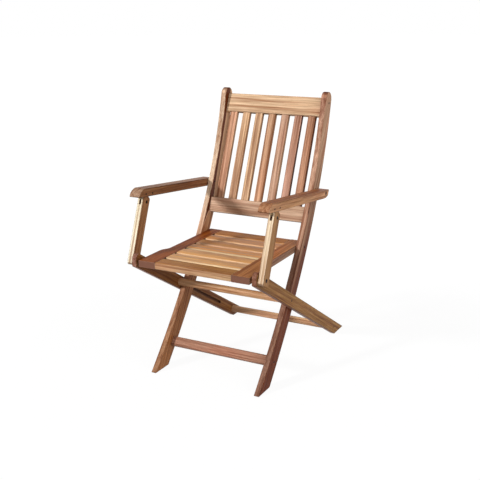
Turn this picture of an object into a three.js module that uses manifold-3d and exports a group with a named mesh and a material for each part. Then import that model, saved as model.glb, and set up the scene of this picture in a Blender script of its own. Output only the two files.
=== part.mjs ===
// Folding teak armchair.
// Millimetres, +X to the right of someone who looks at the chair's front, +Y to its back, +Z up.
// The origin is on the floor, in the middle of the space that the open chair stands in.

import * as THREE from 'three';
import { mergeVertices } from 'three/addons/utils/BufferGeometryUtils.js';
import Module from 'manifold-3d';

const wasm = await Module();
wasm.setup();

// Whole chair
const chairHeight = 915.5;
const overallWidth = 500;
const boardThickness = 19.5;
const fitGap = 0.3; // between pieces that are fixed to each other, and around a turning pin
const swingGap = 0.8; // between boards that swing past each other
const cutOverrun = 3; // what a cutter reaches past the face that it cuts

// Stiles: each runs from the front foot to the rounded top in one bow
const stileWidth = 54.4;
const stileTaper = 3.8; // wider than that at the foot, narrower at the top
const stileFootFront = -242.6;
const stileRun = 520.9;
const stileBow = 83.2;

// Seat
const seatHeight = 417.7;
const seatThickness = 22.5;
const seatWideInset = 5; // from the stile's outer face
const seatNarrowInset = 0.6; // from its inner face
const seatRailWidth = 62.5;
const seatSlatCount = 5;
const frontBoardDepth = 55.6;
const seatSlatGap = 10.9;
const rearBoardDepth = 59.6;
const seatEdgeRadius = 4.5;
const seatFrontOverhang = 24.5; // ahead of the front pivot
const seatRearOverhang = 39.6; // behind the rear pivot
const seatShoulderAhead = 281.5; // of the rear pivot, where the rail starts to narrow
const seatShoulderLength = 48;

// Linkage: seat, stile, armrest and post make a parallelogram
const seatLink = 381.5;
const seatPivotSetback = 3.6; // behind the stile's middle line
const seatPivotDrop = 9.75; // below the seat's top
const armPivotSetback = 74; // behind the rear pivot
const armPivotHeight = 178.5; // above it

// Legs
const legWidth = 44.3;
const legThickness = 17.5;
const legGap = 2.8; // between the leg and the stile
const legAngle = THREE.MathUtils.degToRad(30.75);
const legEdgeAbovePivot = 19.3;
const legEndAheadOfPivot = 24.5;
const legEndRadius = 16; // between the upright end and the upper edge
const grooveWidth = 9.5;
const grooveDepth = 8;
const grooveTravel = 297; // behind the slide pin when the chair is open
const grooveLead = 3.5; // ahead of it

// Back panel
const railThickness = 22;
const topRailDrop = 82.5; // from the chair's top to the rail's lower edge
const topRailInset = 12.746; // behind the stile's front edge
const topRailWidth = 67.2;
const topRailNailRise = 18; // above the rail's middle line
const lowerRailLift = 69.8; // above the seat
const lowerRailInset = 12.554;
const lowerRailWidth = 53.9;
const slatCount = 7;
const slatSideGap = 18.25; // between the outer slats and the stiles
const slatWidth = 28.9;
const slatThickness = 14.3;
const slatSetback = 3.6; // behind the rails' fronts
const slatHousing = 12;

// Tenons of rails, boards and stretchers
const tenonLength = 12;
const tenonShoulder = 3.5;

// Bars
const barRadius = 13;
const barTenonRadius = 7.5;
const rearBarAheadOfFoot = 97.2; // along the leg, of the point where its upper edge meets the floor
const rearBarBelowEdge = 21.5;
const stretcherWidth = 33.4;
const stretcherThickness = 14.3;
const stretcherHeight = 77.6;
const stretcherInset = 31.6; // behind the stile's front edge

// Armrests
const armWidth = 40;
const armThickness = 28;
const armSlope = Math.atan(0.1015);
const armPivotAboveUnderside = 17.5;
const armFrontReach = 66.65; // ahead of the fork pin
const armRearReach = 28.6;
const noseLength = 28.5;
const noseLip = 1.9;
const heelLength = 42.5;
const heelFace = 6.1;
const heelFaceDrop = 16;
const heelKneeInset = 9;
const heelKneeLift = 1.5;
const noseControlShares = { along: 0.12, up: 0.69 };
const spacerThickness = 4.5;
const spacerRadius = 10;

// Posts
const postDepth = 40;
const postLean = Math.atan(0.387);
const postAheadOfPivot = 19.4;
const postBelowPivot = 17.5;
const postToeRadius = 9.5;
const postTopGap = 1; // under the armrest
const forkWidth = 5.6;
const forkBelowPin = 12;

// Tongue plates
const tongueThickness = 5;
const tongueAhead = 37; // of the fork pin
const tongueBehind = 19;
const tongueEyeRadius = 10;
const tongueInset = 20; // into the armrest
const tonguePinAhead = 29;
const tonguePinBehind = 8;
const tonguePinRise = 9.5; // above the armrest's underside
const tonguePinPast = 6; // beyond the plate

// Steel pins and nails
const pivotRadius = 3.5;
const pivotWall = 2; // wood between a pivot's end and the nearest tenon
const forkPinRadius = 3;
const openPivotGap = 0.5; // around the fork pin, in the tongue's eye
const tonguePinRadius = 1.8;
const nailRadius = 2;
const nailLength = 42;
const slidePinRadius = 4.2;
const slidePinGrip = 15;
const headSink = 0.4;

// Smoothness
const stileSteps = 40;
const domeSteps = 12;
const pinSteps = 16;
const barSteps = 24;
const curveSteps = 8;
const cornerSteps = 4;
const searchSteps = 50;
const searchShare = 1.2;
const mergeDistance = 0.0001;

// Widths, from the outside in
const armOuter = overallWidth / 2;
const armInner = armOuter - armWidth;
const stileOuter = armInner - spacerThickness;
const stileInner = stileOuter - boardThickness;
const legInner = stileOuter + legGap;
const legOuter = legInner + legThickness;
const postInner = legOuter + swingGap;
const postOuter = postInner + boardThickness;
const postMiddle = (postInner + postOuter) / 2;
const seatWide = stileOuter - seatWideInset;
const seatNarrow = stileInner - seatNarrowInset;
const seatInner = seatWide - seatRailWidth;

// Woods and metals
const finish = (color, roughness, metalness) => new THREE.MeshStandardMaterial({ color, roughness, metalness });
const stileWood = finish(0xb87c55, 0.62, 0);
const legWood = finish(0x9a6a46, 0.62, 0);
const railWood = finish(0xd9ae84, 0.6, 0);
const slatWood = finish(0xc9977a, 0.6, 0);
const seatWood = finish(0xc08a5c, 0.6, 0);
const seatRailWood = finish(0xa8683f, 0.62, 0);
const barWood = finish(0xbd8258, 0.6, 0);
const armWood = finish(0xb17a58, 0.6, 0);
const postWood = finish(0xcf9f72, 0.6, 0);
const steel = finish(0x8a8177, 0.4, 0.9);
const brass = finish(0xa5853f, 0.4, 0.9);

// Side-view points: x holds the place from front to back, y the height
const point = (back, height) => new THREE.Vector2(back, height);
const moved = (start, direction, distance) => start.clone().addScaledVector(direction, distance);

// The stile's front edge at a station, which is the height of that edge
function stileFront(station) {
  const rise = station / chairHeight;
  return point(stileFootFront + stileRun * rise + 4 * stileBow * rise * (1 - rise), station);
}

// Square to the stile's front edge, towards the back
function stileRearward(station) {
  const rise = station / chairHeight;
  const slope = (stileRun + 4 * stileBow * (1 - 2 * rise)) / chairHeight;
  return point(1, -slope).normalize();
}

const inStile = (station, depth) => moved(stileFront(station), stileRearward(station), depth);

// The distance at which a rising measure reaches a goal
function solve(measure, goal, limit) {
  let low = 0;
  let high = limit;
  for (let step = 0; step < searchSteps; step += 1) {
    const middle = (low + high) / 2;
    if (measure(middle) < goal) low = middle;
    else high = middle;
  }
  return low;
}

const stationAt = (depth, height) =>
  solve((station) => inStile(station, depth).y, height, chairHeight * searchShare);

// Pivots
const pivotHeight = seatHeight - seatPivotDrop;
const stileMiddle = stileWidth / 2;
const rearPivot = inStile(stationAt(stileMiddle, pivotHeight), stileMiddle).add(point(seatPivotSetback, 0));
const frontPivot = point(rearPivot.x - seatLink, pivotHeight);
const armPivot = rearPivot.clone().add(point(armPivotSetback, armPivotHeight));
const forkPin = frontPivot.clone().add(point(armPivotSetback, armPivotHeight));

// The leg's own directions: along it to the rear foot, and square to it upwards
const legAlong = point(Math.cos(legAngle), -Math.sin(legAngle));
const legUp = point(Math.sin(legAngle), Math.cos(legAngle));
const legMiddle = legWidth / 2;

const inLeg = (along, below) => moved(moved(frontPivot, legAlong, along), legUp, legEdgeAbovePivot - below);

const legAtHeight = (below, height) =>
  inLeg((inLeg(0, below).y - height) / Math.sin(legAngle), below);

const legAtBack = (below, back) => inLeg((back - inLeg(0, below).x) / Math.cos(legAngle), below);

// How far along the leg's middle line it meets the line at some depth in the stile
function legMeetsStile(depth) {
  const behind = (along) => {
    const probe = inLeg(along, legMiddle);
    return probe.x - inStile(stationAt(depth, probe.y), depth).x;
  };
  return solve(behind, 0, seatLink);
}

const slideAlong = legMeetsStile(stileMiddle);
const stopAlong = legMeetsStile(-(barRadius + fitGap));
const slideCentre = inLeg(slideAlong, legMiddle);
const stopCentre = inLeg(stopAlong, legMiddle);
const footAlong = inLeg(0, 0).y / Math.sin(legAngle);
const rearBarCentre = inLeg(footAlong - rearBarAheadOfFoot, rearBarBelowEdge);

// Solids: a geometry and the matrix that places it
const acrossTurn = new THREE.Matrix4().makeBasis(
  new THREE.Vector3(0, 1, 0),
  new THREE.Vector3(0, 0, 1),
  new THREE.Vector3(1, 0, 0),
);

function extruded(shape, depth, curveSegments) {
  return new THREE.ExtrudeGeometry(shape, { depth, curveSegments, bevelEnabled: false });
}

// A side-view shape, extruded across the chair
function across(shape, fromX, toX, curveSegments = curveSteps) {
  const geometry = extruded(shape, Math.abs(toX - fromX), curveSegments);
  const place = new THREE.Matrix4().makeTranslation(Math.min(fromX, toX), 0, 0).multiply(acrossTurn);
  return { geometry, place };
}

// A top-view shape, extruded upwards
function upright(shape, fromZ, toZ) {
  const geometry = extruded(shape, toZ - fromZ, curveSteps);
  return { geometry, place: new THREE.Matrix4().makeTranslation(0, 0, fromZ) };
}

function disc(centre, radius) {
  const shape = new THREE.Shape();
  shape.absarc(centre.x, centre.y, radius, 0, 2 * Math.PI, false);
  return shape;
}

const rod = (centre, radius, fromX, toX, steps = pinSteps) =>
  across(disc(centre, radius), fromX, toX, steps / 2);

// A rectangle around a centre, with its length in a direction
function slab(centre, direction, length, thickness) {
  const side = point(-direction.y, direction.x);
  const corner = (u, v) => moved(moved(centre, direction, (u * length) / 2), side, (v * thickness) / 2);
  return new THREE.Shape([corner(-1, -1), corner(1, -1), corner(1, 1), corner(-1, 1)]);
}

function toManifold(geometry) {
  const bare = geometry.clone();
  bare.deleteAttribute('normal');
  bare.deleteAttribute('uv');
  const merged = mergeVertices(bare, mergeDistance);
  const vertProperties = new Float32Array(merged.attributes.position.array);
  const triVerts = new Uint32Array(merged.index.array);
  return new wasm.Manifold(new wasm.Mesh({ numProp: 3, vertProperties, triVerts }));
}

function fromManifold(solid) {
  const mesh = solid.getMesh();
  const geometry = new THREE.BufferGeometry();
  geometry.setAttribute('position', new THREE.BufferAttribute(new Float32Array(mesh.vertProperties), 3));
  geometry.setIndex(new THREE.BufferAttribute(new Uint32Array(mesh.triVerts), 1));
  geometry.computeVertexNormals();
  return geometry;
}

// Joins and cuts are made in the piece's own coordinates
function shaped(solid, joins, cuts) {
  if (joins.length + cuts.length === 0) return solid.geometry;
  const home = solid.place.clone().invert();
  const local = (other) =>
    toManifold(other.geometry.clone().applyMatrix4(home.clone().multiply(other.place)));
  const joined = joins.reduce((whole, other) => whole.add(local(other)), toManifold(solid.geometry));
  return fromManifold(cuts.reduce((whole, other) => whole.subtract(local(other)), joined));
}

function piece(body, name, material, solid, { joins = [], cuts = [] } = {}) {
  const mesh = new THREE.Mesh(shaped(solid, joins, cuts), material);
  mesh.name = name;
  solid.place.decompose(mesh.position, mesh.quaternion, mesh.scale);
  body.add(mesh);
}

const chair = new THREE.Group();

function bodyGroup(name) {
  const group = new THREE.Group();
  group.name = name;
  chair.add(group);
  return group;
}

const backFrame = bodyGroup('back_frame');
const legFrame = bodyGroup('leg_frame');
const seat = bodyGroup('seat');
const sides = [
  { name: 'left', sign: -1, arm: bodyGroup('arm_left'), post: bodyGroup('post_left') },
  { name: 'right', sign: 1, arm: bodyGroup('arm_right'), post: bodyGroup('post_right') },
];

// A side-view shape between two distances from the chair's middle, on one side
const onSide = (side, shape, nearX, farX, curveSegments) =>
  across(shape, side.sign * nearX, side.sign * farX, curveSegments);

const rodOnSide = (side, centre, radius, nearX, farX) =>
  rod(centre, radius, side.sign * nearX, side.sign * farX);

// A hole that a rod turns or sits in, open past both distances
const holeOnSide = (side, centre, radius, nearX, farX) =>
  rodOnSide(side, centre, radius + fitGap, nearX - cutOverrun, farX + cutOverrun);

// A hole that ends inside the wood, open on its outer side
const blindHoleOnSide = (side, centre, radius, endX, mouthX) =>
  rodOnSide(side, centre, radius + fitGap, endX - fitGap, mouthX + cutOverrun);

// Nails: driven from a board's outer face into the end of the bar behind it
const nailRod = (side, centre, outerX) =>
  rodOnSide(side, centre, nailRadius, outerX - nailLength, outerX - headSink);

const nailHole = (side, centre, outerX) =>
  blindHoleOnSide(side, centre, nailRadius, outerX - nailLength, outerX);

// Back panel: v runs up the rails' fronts from the lower rail's edge, w square to them towards the back
const inStileAt = (inset, height) => inStile(stationAt(inset, height), inset);
const panelFoot = inStileAt(lowerRailInset, seatHeight + lowerRailLift);
const panelSpan = inStileAt(topRailInset, chairHeight - topRailDrop).sub(panelFoot);
const topRailStart = panelSpan.length();
const leanUp = panelSpan.normalize();
const leanBack = point(leanUp.y, -leanUp.x);
const inPanel = (v, w) => moved(moved(panelFoot, leanUp, v), leanBack, w);

function railSection(start, width) {
  const centre = inPanel(start + width / 2, railThickness / 2);
  return { centre, direction: leanUp, width, thickness: railThickness };
}

function stretcherSection() {
  const station = stationAt(stretcherInset, stretcherHeight);
  const back = stileRearward(station);
  return {
    centre: inStile(station, stretcherInset),
    direction: point(-back.y, back.x),
    width: stretcherWidth,
    thickness: stretcherThickness,
  };
}

const topRail = {
  name: 'top_rail',
  wood: railWood,
  nailRise: topRailNailRise,
  ...railSection(topRailStart, topRailWidth),
};
const lowerRail = { name: 'lower_rail', wood: railWood, ...railSection(0, lowerRailWidth) };
const stretcher = { name: 'front_stretcher', wood: barWood, nailRise: 0, ...stretcherSection() };
const crossBars = [topRail, lowerRail, stretcher];

const sectionOf = (item) => slab(item.centre, item.direction, item.width, item.thickness);

const tenonOf = (item, growth) => {
  const trim = 2 * (growth - tenonShoulder);
  return slab(item.centre, item.direction, item.width + trim, item.thickness + trim);
};

const isNailed = (item) => item.nailRise !== undefined;
const nailPlace = (item) => moved(item.centre, item.direction, item.nailRise);

function crossBar(item, housings) {
  const body = across(sectionOf(item), fitGap - stileInner, stileInner - fitGap);
  const tenons = across(tenonOf(item, 0), -(stileInner + tenonLength), stileInner + tenonLength);
  const nails = isNailed(item) ? sides.map((side) => nailHole(side, nailPlace(item), stileOuter)) : [];
  piece(backFrame, item.name, item.wood, body, { joins: [tenons], cuts: [...housings, ...nails] });
}

// The seven slats stand in housings in both rails
const slatTurn = new THREE.Matrix4().makeBasis(
  new THREE.Vector3(1, 0, 0),
  new THREE.Vector3(0, leanBack.x, leanBack.y),
  new THREE.Vector3(0, leanUp.x, leanUp.y),
);

const slatLow = lowerRailWidth - slatHousing;
const slatHigh = topRailStart + slatHousing;
const slatPitch = (stileInner - slatSideGap - slatWidth / 2) / ((slatCount - 1) / 2);

function slatBox(index, growth) {
  const middle = inPanel((slatLow + slatHigh) / 2, slatSetback + slatThickness / 2);
  const length = slatHigh - slatLow + 2 * growth;
  const geometry = new THREE.BoxGeometry(slatWidth + 2 * growth, slatThickness + 2 * growth, length);
  const offset = (index - (slatCount - 1) / 2) * slatPitch;
  const place = new THREE.Matrix4().makeTranslation(offset, middle.x, middle.y).multiply(slatTurn);
  return { geometry, place };
}

const slatIndices = [...Array(slatCount).keys()];

function makeBackPanel() {
  const housings = slatIndices.map((index) => slatBox(index, fitGap));
  crossBar(topRail, housings);
  crossBar(lowerRail, housings);
  crossBar(stretcher, []);
  for (const index of slatIndices) {
    piece(backFrame, `back_slat_${index + 1}`, slatWood, slatBox(index, 0));
  }
}

// Stiles
function stileOutline() {
  const footWidth = stileWidth + stileTaper;
  const topWidth = stileWidth - stileTaper;
  const topRadius = topWidth / 2;
  const topStation = stationAt(topRadius, chairHeight - topRadius);
  const footStation = stationAt(footWidth, 0);
  const points = [];
  for (let step = 0; step <= stileSteps; step += 1) {
    points.push(stileFront((topStation * step) / stileSteps));
  }
  const centre = inStile(topStation, topRadius);
  const rearward = stileRearward(topStation);
  const start = Math.atan2(-rearward.y, -rearward.x);
  for (let step = 1; step < domeSteps; step += 1) {
    const angle = start - (Math.PI * step) / domeSteps;
    points.push(moved(centre, point(Math.cos(angle), Math.sin(angle)), topRadius));
  }
  for (let step = stileSteps; step >= 0; step -= 1) {
    const share = step / stileSteps;
    const station = footStation + (topStation - footStation) * share;
    points.push(inStile(station, footWidth + (topWidth - footWidth) * share));
  }
  return new THREE.Shape(points);
}

function makeStile(side) {
  const board = onSide(side, stileOutline(), stileInner, stileOuter);
  const mortises = crossBars.map((item) =>
    onSide(side, tenonOf(item, fitGap), stileInner - cutOverrun, stileInner + tenonLength + fitGap));
  const nails = crossBars.filter(isNailed).map((item) => nailHole(side, nailPlace(item), stileOuter));
  const pivots = [rearPivot, armPivot].map((centre) =>
    holeOnSide(side, centre, pivotRadius, stileInner, stileOuter));
  const slideHole = blindHoleOnSide(side, slideCentre, slidePinRadius, stileOuter - slidePinGrip, stileOuter);
  const cuts = [...mortises, ...nails, ...pivots, slideHole];
  piece(backFrame, `stile_${side.name}`, stileWood, board, { cuts });
}

// The slide pin stops short of the leg, so that the leg's simplified swing stays clear of it
function makeStileMetal(side) {
  const slideEnd = legInner - fitGap;
  const slidePin = rodOnSide(side, slideCentre, slidePinRadius, stileOuter - slidePinGrip, slideEnd);
  piece(backFrame, `slide_pin_${side.name}`, steel, slidePin);
  for (const item of crossBars.filter(isNailed)) {
    const name = `${item.name}_nail_${side.name}`;
    piece(backFrame, name, steel, nailRod(side, nailPlace(item), stileOuter));
  }
}

// Legs and the round bars between them
function legOutline() {
  const end = frontPivot.x - legEndAheadOfPivot;
  const corner = legAtBack(legEndRadius, end + legEndRadius);
  const shape = new THREE.Shape();
  shape.setFromPoints([legAtHeight(legWidth, 0), legAtHeight(0, 0)]);
  shape.absarc(corner.x, corner.y, legEndRadius, Math.PI / 2 - legAngle, Math.PI, false);
  shape.lineTo(...legAtBack(legWidth, end).toArray());
  return shape;
}

function grooveOutline() {
  const length = grooveLead + grooveTravel;
  const middle = inLeg(slideAlong - grooveLead + length / 2, legMiddle);
  const radius = grooveWidth / 2;
  const turn = -legAngle;
  const front = moved(middle, legAlong, -length / 2);
  const rear = moved(middle, legAlong, length / 2);
  const shape = new THREE.Shape();
  shape.absarc(rear.x, rear.y, radius, turn - Math.PI / 2, turn + Math.PI / 2, false);
  shape.absarc(front.x, front.y, radius, turn + Math.PI / 2, turn + (3 * Math.PI) / 2, false);
  return shape;
}

const roundBars = [
  { name: 'stop_bar', centre: stopCentre },
  { name: 'rear_stretcher', centre: rearBarCentre },
];

function makeRoundBar(item) {
  const body = rod(item.centre, barRadius, fitGap - legInner, legInner - fitGap, barSteps);
  const tenons = rod(item.centre, barTenonRadius, -(legInner + tenonLength), legInner + tenonLength);
  const cuts = sides.map((side) => nailHole(side, item.centre, legOuter));
  piece(legFrame, item.name, barWood, body, { joins: [tenons], cuts });
}

function makeLeg(side) {
  const board = onSide(side, legOutline(), legInner, legOuter);
  const mouth = legInner - cutOverrun;
  const groove = onSide(side, grooveOutline(), mouth, legInner + grooveDepth);
  const sockets = roundBars.map((item) =>
    rodOnSide(side, item.centre, barTenonRadius + fitGap, mouth, legInner + tenonLength + fitGap));
  const nails = roundBars.map((item) => nailHole(side, item.centre, legOuter));
  const pivot = holeOnSide(side, frontPivot, pivotRadius, legInner, legOuter);
  piece(legFrame, `leg_${side.name}`, legWood, board, { cuts: [groove, ...sockets, ...nails, pivot] });
  for (const item of roundBars) {
    piece(legFrame, `${item.name}_nail_${side.name}`, steel, nailRod(side, item.centre, legOuter));
  }
}

// Seat boards, from front to back
const seatFront = frontPivot.x - seatFrontOverhang;
const seatRear = rearPivot.x + seatRearOverhang;
const seatUnder = seatHeight - seatThickness;

function seatBoards() {
  const gaps = (seatSlatCount + 1) * seatSlatGap;
  const seatSlatDepth = (seatRear - seatFront - frontBoardDepth - rearBoardDepth - gaps) / seatSlatCount;
  const boards = [{ name: 'seat_front_board', depth: frontBoardDepth }];
  for (let index = 1; index <= seatSlatCount; index += 1) {
    boards.push({ name: `seat_slat_${index}`, depth: seatSlatDepth });
  }
  boards.push({ name: 'seat_rear_board', depth: rearBoardDepth });
  let front = seatFront;
  for (const board of boards) {
    board.front = front;
    board.rear = front + board.depth;
    front = board.rear + seatSlatGap;
  }
  return boards;
}

const boards = seatBoards();

function roundedBoard(board) {
  const radius = seatEdgeRadius;
  const low = seatUnder + radius;
  const high = seatHeight - radius;
  const shape = new THREE.Shape();
  shape.absarc(board.rear - radius, low, radius, -Math.PI / 2, 0, false);
  shape.absarc(board.rear - radius, high, radius, 0, Math.PI / 2, false);
  shape.absarc(board.front + radius, high, radius, Math.PI / 2, Math.PI, false);
  shape.absarc(board.front + radius, low, radius, Math.PI, (3 * Math.PI) / 2, false);
  return shape;
}

function boardTenon(board, growth) {
  const centre = point((board.front + board.rear) / 2, seatHeight - seatThickness / 2);
  const trim = 2 * (growth - tenonShoulder);
  return slab(centre, point(1, 0), board.depth + trim, seatThickness + trim);
}

function makeSeatBoard(board) {
  const body = across(roundedBoard(board), fitGap - seatInner, seatInner - fitGap, cornerSteps / 2);
  const tenons = across(boardTenon(board, 0), -(seatInner + tenonLength), seatInner + tenonLength);
  piece(seat, board.name, seatWood, body, { joins: [tenons] });
}

// Top view of a seat rail: wide ahead of the stile, narrow beside it
function seatRailOutline(side) {
  const wide = side.sign * seatWide;
  const narrow = side.sign * seatNarrow;
  const inner = side.sign * seatInner;
  const start = rearPivot.x - seatShoulderAhead;
  const end = start + seatShoulderLength;
  const middle = (start + end) / 2;
  const shape = new THREE.Shape();
  shape.moveTo(inner, seatFront);
  shape.lineTo(wide, seatFront);
  shape.lineTo(wide, start);
  shape.bezierCurveTo(wide, middle, narrow, middle, narrow, end);
  shape.lineTo(narrow, seatRear);
  shape.lineTo(inner, seatRear);
  return shape;
}

const pivotEnd = seatInner + tenonLength + fitGap + pivotWall;

function makeSeatRail(side) {
  const board = upright(seatRailOutline(side), seatUnder, seatHeight);
  const mortises = boards.map((item) =>
    onSide(side, boardTenon(item, fitGap), seatInner - cutOverrun, seatInner + tenonLength + fitGap));
  const pivots = [rearPivot, frontPivot].map((centre) =>
    blindHoleOnSide(side, centre, pivotRadius, pivotEnd, seatWide));
  piece(seat, `seat_rail_${side.name}`, seatRailWood, board, { cuts: [...mortises, ...pivots] });
  const rearEnd = stileOuter - headSink;
  const frontEnd = postOuter - headSink;
  piece(seat, `rear_pivot_${side.name}`, steel, rodOnSide(side, rearPivot, pivotRadius, pivotEnd, rearEnd));
  piece(seat, `front_pivot_${side.name}`, steel, rodOnSide(side, frontPivot, pivotRadius, pivotEnd, frontEnd));
}

// Armrests: s runs along the arm to the back from the arm pivot, t up from the underside
const armAlong = point(Math.cos(armSlope), -Math.sin(armSlope));
const armUp = point(Math.sin(armSlope), Math.cos(armSlope));
const inArm = (s, t) => moved(moved(armPivot, armAlong, s), armUp, t - armPivotAboveUnderside);

const pinFromArm = forkPin.clone().sub(armPivot);
const pinS = pinFromArm.dot(armAlong);
const pinT = pinFromArm.dot(armUp) + armPivotAboveUnderside;

function armOutline() {
  const tip = pinS - armFrontReach;
  const noseTop = tip + noseLength;
  const heelTop = armRearReach;
  const knee = heelTop - heelKneeInset;
  const control = inArm(tip + noseLength * noseControlShares.along, armThickness * noseControlShares.up);
  const crown = inArm(noseTop, armThickness);
  const kneePoint = inArm(knee, heelKneeLift);
  const under = inArm(heelTop - heelLength, 0);
  const shape = new THREE.Shape();
  shape.setFromPoints([inArm(tip + noseLip, 0), inArm(tip, noseLip)]);
  shape.quadraticCurveTo(control.x, control.y, crown.x, crown.y);
  shape.lineTo(...inArm(heelTop, armThickness).toArray());
  shape.lineTo(...inArm(heelTop - heelFace, armThickness - heelFaceDrop).toArray());
  shape.quadraticCurveTo(kneePoint.x, kneePoint.y, under.x, under.y);
  return shape;
}

function tongueOutline() {
  const eye = inArm(pinS, pinT);
  const turn = -armSlope;
  const shape = new THREE.Shape();
  shape.setFromPoints([
    inArm(pinS - tongueAhead, 0),
    inArm(pinS - tongueAhead, tongueInset),
    inArm(pinS + tongueBehind, tongueInset),
    inArm(pinS + tongueBehind, 0),
    inArm(pinS + tongueEyeRadius, 0),
  ]);
  shape.absarc(eye.x, eye.y, tongueEyeRadius, turn, turn - Math.PI, true);
  return shape;
}

// The slot in the armrest's underside that holds the plate
function tongueSlot(side) {
  const reach = fitGap + cutOverrun;
  const height = tongueInset + reach;
  const length = tongueAhead + tongueBehind + 2 * fitGap;
  const centre = inArm(pinS + (tongueBehind - tongueAhead) / 2, fitGap + tongueInset - height / 2);
  const half = tongueThickness / 2 + fitGap;
  return onSide(side, slab(centre, armAlong, length, height), postMiddle - half, postMiddle + half);
}

const tonguePins = [
  { name: 'front', centre: inArm(pinS - tonguePinAhead, tonguePinRise) },
  { name: 'rear', centre: inArm(pinS + tonguePinBehind, tonguePinRise) },
];

function makeArm(side) {
  const board = onSide(side, armOutline(), armInner, armOuter);
  const pinEnd = postMiddle - tongueThickness / 2 - tonguePinPast;
  const pinHoles = tonguePins.map((item) =>
    blindHoleOnSide(side, item.centre, tonguePinRadius, pinEnd, armOuter));
  const pivotHole = holeOnSide(side, armPivot, pivotRadius, armInner, armOuter);
  piece(side.arm, `armrest_${side.name}`, armWood, board, { cuts: [tongueSlot(side), ...pinHoles, pivotHole] });
  for (const item of tonguePins) {
    const shank = rodOnSide(side, item.centre, tonguePinRadius, pinEnd, armOuter - headSink);
    piece(side.arm, `tongue_pin_${item.name}_${side.name}`, steel, shank);
  }
  const pivot = rodOnSide(side, armPivot, pivotRadius, stileInner + headSink, armOuter - headSink);
  piece(side.arm, `arm_pivot_${side.name}`, steel, pivot);
}

function makeTongue(side) {
  const half = tongueThickness / 2;
  const plate = onSide(side, tongueOutline(), postMiddle - half, postMiddle + half);
  const eye = rodOnSide(side, forkPin, forkPinRadius + openPivotGap, postInner, postOuter);
  const pinHoles = tonguePins.map((item) =>
    holeOnSide(side, item.centre, tonguePinRadius, postMiddle - half, postMiddle + half));
  piece(side.arm, `tongue_${side.name}`, brass, plate, { cuts: [eye, ...pinHoles] });
}

function makeSpacer(side) {
  const ring = onSide(side, disc(armPivot, spacerRadius), stileOuter + fitGap, armInner - fitGap);
  const hole = holeOnSide(side, armPivot, pivotRadius, stileOuter, armInner);
  piece(side.arm, `arm_spacer_${side.name}`, brass, ring, { cuts: [hole] });
}

// Posts: u runs square to the post towards the back from its front edge, v up it from the front pivot
const postUp = point(Math.sin(postLean), Math.cos(postLean));
const postBack = point(Math.cos(postLean), -Math.sin(postLean));
const inPost = (u, v) => moved(moved(frontPivot, postBack, u - postAheadOfPivot), postUp, v);

const pinFromPost = forkPin.clone().sub(frontPivot);
const pinU = pinFromPost.dot(postBack) + postAheadOfPivot;
const pinV = pinFromPost.dot(postUp);
const postTopRadius = -pinT - postTopGap;

// The top clears the armrest's underside in every position, because it is round about the fork pin
function postOutline() {
  const bottom = -postBelowPivot;
  const toe = inPost(postToeRadius, bottom + postToeRadius);
  const topStart = moved(forkPin, armUp, postTopRadius);
  const toFrontEdge = (topStart.clone().sub(inPost(0, 0)).dot(postBack)) / armAlong.dot(postBack);
  const frontTop = moved(topStart, armAlong, -toFrontEdge);
  const startAngle = Math.PI / 2 - armSlope;
  const endAngle = Math.acos((postDepth - pinU) / postTopRadius) - postLean;
  const shape = new THREE.Shape();
  shape.setFromPoints([inPost(postDepth, bottom), inPost(postToeRadius, bottom)]);
  shape.absarc(toe.x, toe.y, postToeRadius, -Math.PI / 2 - postLean, -Math.PI - postLean, true);
  shape.lineTo(frontTop.x, frontTop.y);
  shape.absarc(forkPin.x, forkPin.y, postTopRadius, startAngle, endAngle, true);
  return shape;
}

function forkSlot(side) {
  const low = pinV - forkBelowPin;
  const high = pinV + postTopRadius + cutOverrun;
  const centre = inPost(postDepth / 2, (low + high) / 2);
  const outline = slab(centre, postUp, high - low, postDepth + 2 * cutOverrun);
  return onSide(side, outline, postMiddle - forkWidth / 2, postMiddle + forkWidth / 2);
}

function makePost(side) {
  const board = onSide(side, postOutline(), postInner, postOuter);
  const pivotHole = holeOnSide(side, frontPivot, pivotRadius, postInner, postOuter);
  const pinHole = holeOnSide(side, forkPin, forkPinRadius, postInner, postOuter);
  piece(side.post, `post_${side.name}`, postWood, board, { cuts: [forkSlot(side), pivotHole, pinHole] });
  const pin = rodOnSide(side, forkPin, forkPinRadius, postInner + headSink, postOuter - headSink);
  piece(side.post, `fork_pin_${side.name}`, steel, pin);
}

makeBackPanel();
roundBars.forEach(makeRoundBar);
boards.forEach(makeSeatBoard);
for (const side of sides) {
  makeStile(side);
  makeStileMetal(side);
  makeLeg(side);
  makeSeatRail(side);
  makeArm(side);
  makeTongue(side);
  makeSpacer(side);
  makePost(side);
}

// The open chair reaches from the seat's front edge to the rear feet
chair.position.y = -(seatFront + legAtHeight(0, 0).x) / 2;

export default chair;
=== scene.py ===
"""Looks of the folding teak armchair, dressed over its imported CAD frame."""

import math

import bmesh
import bpy
import numpy as np
from mathutils import Matrix, Quaternion, Vector
from mathutils.bvhtree import BVHTree


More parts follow.
